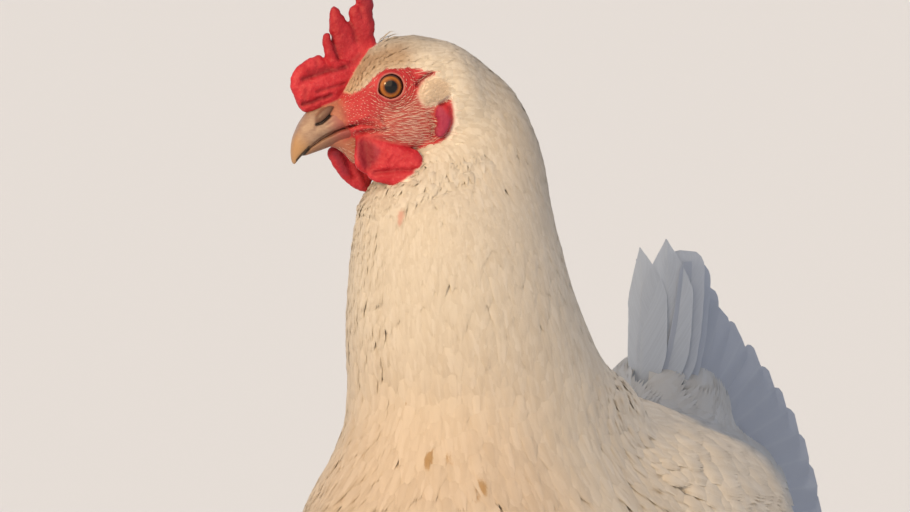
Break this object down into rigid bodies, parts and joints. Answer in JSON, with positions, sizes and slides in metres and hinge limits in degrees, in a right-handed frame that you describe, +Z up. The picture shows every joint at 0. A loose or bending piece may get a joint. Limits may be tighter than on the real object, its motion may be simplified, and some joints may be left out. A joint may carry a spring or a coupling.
{
  "type": "chicken",
  "caption": "Life-size standing white hen with head turned to her right, red single comb and wattles, folded wings and a raised fanned tail.",
  "frame": {"origin": "on the floor, under the middle of the bounding box", "axes": "+Z up from the floor, -Y the way the hen's body faces, +X her left side"},
  "size_m": [0.1738, 0.364, 0.4399],
  "materials": {
    "plumage": "matt, soft white feathers",
    "comb": "matt, pebbled bare skin",
    "bill": "satin horn",
    "iris": "wet, clear gloss",
    "shank": "satin scales",
    "claw": "satin horn"
  },
  "bodies": {
    "root": {"head": "plumage", "neck_upper": "plumage", "neck_lower": "plumage", "breast": "plumage", "trunk": "plumage", "rump": "plumage", "tail_coverts": "plumage", "comb": "comb", "bill_upper": "bill", "bill_lower": "bill", "wing_left": "plumage", "wing_tip_left": "plumage", "tail_left": "plumage", "thigh_left": "plumage", "wattle_left": "comb", "earlobe_left": "comb", "eye_left": "iris", "shank_left": "shank", "toe_inner_left": "shank", "claw_inner_left": "claw", "toe_middle_left": "shank", "claw_middle_left": "claw", "toe_outer_left": "shank", "claw_outer_left": "claw", "toe_back_left": "shank", "claw_back_left": "claw", "wing_right": "plumage", "wing_tip_right": "plumage", "tail_right": "plumage", "thigh_right": "plumage", "wattle_right": "comb", "earlobe_right": "comb", "eye_right": "iris", "shank_right": "shank", "toe_inner_right": "shank", "claw_inner_right": "claw", "toe_middle_right": "shank", "claw_middle_right": "claw", "toe_outer_right": "shank", "claw_outer_right": "claw", "toe_back_right": "shank", "claw_back_right": "claw"}
  },
  "joints": []
}
